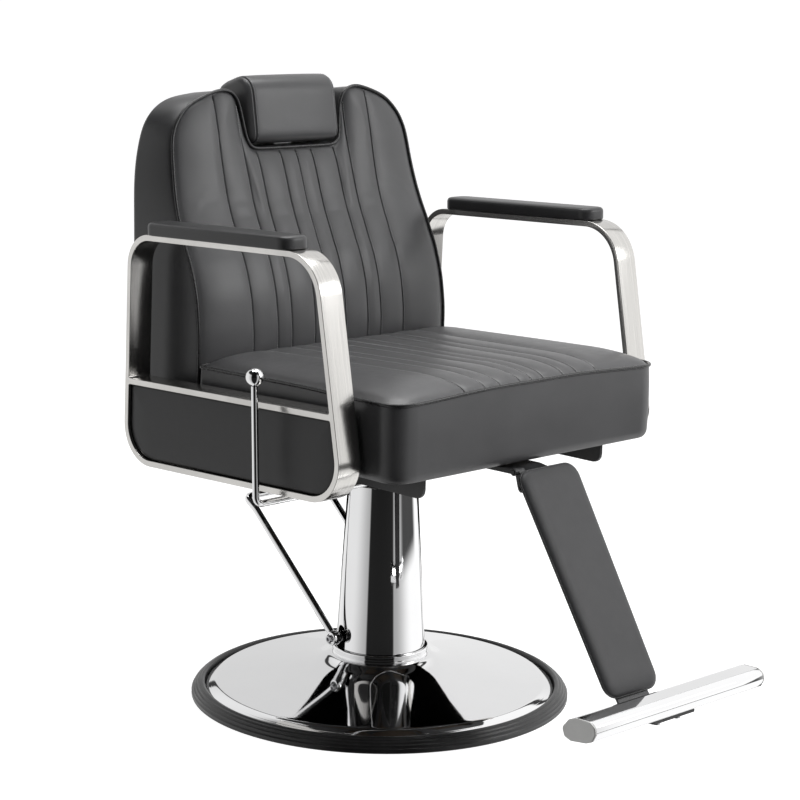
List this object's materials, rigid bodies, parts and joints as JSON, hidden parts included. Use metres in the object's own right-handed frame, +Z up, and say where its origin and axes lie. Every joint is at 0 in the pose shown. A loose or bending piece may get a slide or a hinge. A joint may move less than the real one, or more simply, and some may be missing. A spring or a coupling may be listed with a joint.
{
  "type": "hydraulic barber chair",
  "caption": "Hydraulic barber chair with reclining channelled back, linked leg rest and foot bar, sliding headrest, loop arms, foot pump lever and round chromed base.",
  "frame": {"origin": "on the floor under the axis of the lifting column", "axes": "+Z up, -Y the way the sitter faces, +X towards the sitter's left hand"},
  "size_m": [0.7133, 0.9176, 0.9658],
  "materials": {
    "chrome": "bright mirror chrome plate",
    "stainless": "brushed stainless steel",
    "black_steel": "satin black powder coat",
    "steel": "plain machined steel, zinc plated",
    "cast": "as cast, dark grey",
    "rubber": "matt black, ribbed",
    "leatherette": "black upholstery leather, soft sheen, fine grain",
    "plastic": "matt black moulded",
    "cap": "matt grey moulded",
    "plywood": "unfinished plywood"
  },
  "bodies": {
    "base": {"base_plate": "cast", "base_ring": "rubber", "base_dome": "chrome", "column_collar": "chrome", "column_cover": "chrome", "column_bush": "plastic", "pump_housing": "cast", "hydraulic_cylinder": "steel", "gland_nut": "steel"},
    "foot_lever": {"pump_shaft": "chrome", "pump_cam": "steel", "pump_lever": "chrome", "lever_clamp_right": "chrome", "lever_clamp_left": "chrome", "clamp_screw_right": "steel", "clamp_screw_left": "steel"},
    "plunger": {"pump_plunger": "steel"},
    "piston": {"piston_rod": "chrome", "thrust_washer": "steel"},
    "seat": {"seat_mount_plate": "black_steel", "side_rail_right": "black_steel", "side_rail_left": "black_steel", "cross_member_front": "black_steel", "cross_member_middle": "black_steel", "cross_member_rear": "black_steel", "seat_board": "plywood", "seat_cushion": "leatherette", "arm_frame_right": "stainless", "arm_frame_left": "stainless", "arm_panel_right": "leatherette", "arm_panel_left": "leatherette", "arm_pad_right": "plastic", "arm_pad_left": "plastic", "arm_bracket_right": "black_steel", "arm_bracket_left": "black_steel", "legrest_mount": "black_steel", "lock_cylinder": "black_steel"},
    "backrest": {"back_cushion": "leatherette", "back_board": "plywood", "back_cover": "leatherette", "back_bracket_right": "black_steel", "back_bracket_left": "black_steel", "back_torque_tube": "black_steel", "headrest_guide": "steel"},
    "headrest": {"headrest_post": "steel", "headrest_cushion": "leatherette"},
    "legrest": {"legrest_pin": "steel", "legrest_arm": "black_steel", "legrest_pad": "leatherette", "footbar": "chrome", "footbar_cap_right": "cap", "footbar_cap_left": "cap", "footbar_bracket": "black_steel", "footbar_screw_right": "steel", "footbar_screw_left": "steel"},
    "tie_link": {"tie_rod": "black_steel"},
    "lock_plunger": {"lock_rod": "chrome"},
    "recline_handle": {"recline_lever": "chrome", "lever_knob": "chrome"},
    "release": {"release_pin": "steel"}
  },
  "joints": [
    {"name": "height_lift", "type": "slide", "parent": "base", "child": "piston", "axis": [0, 0, 1], "range_m": [0, 0.14]},
    {"name": "seat_swivel", "type": "hinge", "parent": "piston", "child": "seat", "pos_m": [0, 0, 0.39], "axis": [0, 0, 1], "continuous": true},
    {"name": "pump_stroke", "type": "hinge", "parent": "base", "child": "foot_lever", "pos_m": [0, 0.02, 0.1], "axis": [-1, 0, 0], "range_deg": [0, 22]},
    {"name": "plunger_stroke", "type": "slide", "parent": "base", "child": "plunger", "axis": [0, 0, -1], "range_m": [0, 0.007]},
    {"name": "back_recline", "type": "hinge", "parent": "seat", "child": "backrest", "pos_m": [0, 0.2, 0.395], "axis": [-1, 0, 0], "range_deg": [0, 40]},
    {"name": "headrest_height", "type": "slide", "parent": "backrest", "child": "headrest", "axis": [0, 0, 1], "range_m": [0, 0.09]},
    {"name": "legrest_lift", "type": "hinge", "parent": "seat", "child": "legrest", "pos_m": [0, -0.337, 0.4], "axis": [-1, 0, 0], "range_deg": [0, 40]},
    {"name": "tie_rod_pivot", "type": "hinge", "parent": "backrest", "child": "tie_link", "pos_m": [-0.05, 0.209, 0.418], "axis": [-1, 0, 0], "range_deg": [-40, 0]},
    {"name": "lock_extension", "type": "slide", "parent": "seat", "child": "lock_plunger", "axis": [0, 1, 0], "range_m": [0, 0.018]},
    {"name": "recline_release", "type": "hinge", "parent": "seat", "child": "recline_handle", "pos_m": [0, -0.1156, 0.383], "axis": [-1, 0, 0], "range_deg": [0, 12]},
    {"name": "release_pin_slide", "type": "slide", "parent": "seat", "child": "release", "axis": [0, 1, 0], "range_m": [0, 0.0085]}
  ],
  "couplings": [
    {"joint": "plunger_stroke", "follows": "pump_stroke", "m_per_rad": 0.018},
    {"joint": "legrest_lift", "follows": "back_recline", "ratio": 1},
    {"joint": "tie_rod_pivot", "follows": "back_recline", "ratio": -1},
    {"joint": "lock_extension", "follows": "back_recline", "m_per_rad": 0.0255},
    {"joint": "release_pin_slide", "follows": "recline_release", "m_per_rad": 0.04}
  ]
}
